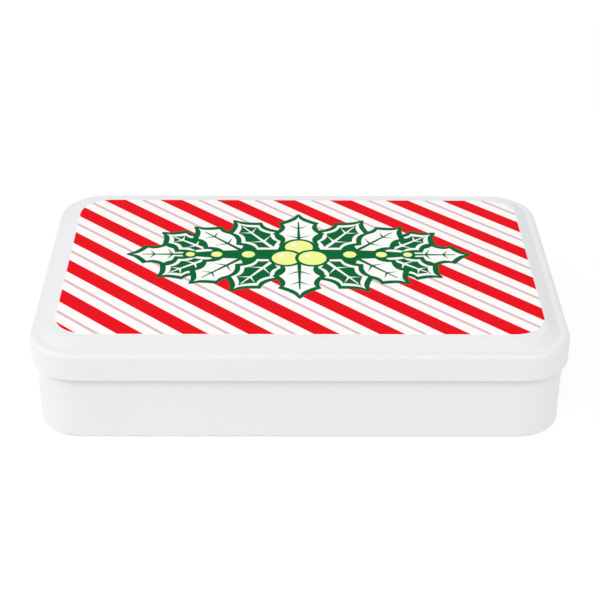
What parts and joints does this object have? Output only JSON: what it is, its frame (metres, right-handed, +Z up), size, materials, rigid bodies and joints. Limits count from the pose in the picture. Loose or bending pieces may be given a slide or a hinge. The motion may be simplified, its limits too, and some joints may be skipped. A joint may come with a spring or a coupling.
{
  "type": "mint tin",
  "caption": "Slim white rectangular mint tin with a drawn base, an overlapping stepped lid that swings on rear wire hinges, and a candy-striped printed film on top.",
  "frame": {"origin": "middle of the plane that the base's foot rests on", "axes": "+X to the tin's right as seen from the front, +Y to the back, where the hinges are, +Z up"},
  "size_m": [0.095, 0.063, 0.019],
  "materials": {
    "white_enamel": "smooth gloss enamel",
    "hinge_wire": "drawn bright wire",
    "printed_film": "gloss film printed with red, white and pink diagonal stripes"
  },
  "bodies": {
    "base": {"base_shell": "white_enamel"},
    "lid": {"lid_shell": "white_enamel", "lid_film": "printed_film", "hinge_pin_left": "hinge_wire", "hinge_pin_right": "hinge_wire"}
  },
  "joints": [
    {"name": "lid_hinge", "type": "hinge", "parent": "base", "child": "lid", "pos_m": [0, 0.03107, 0.01258], "axis": [-1, 0, 0], "range_deg": [0, 110]}
  ]
}
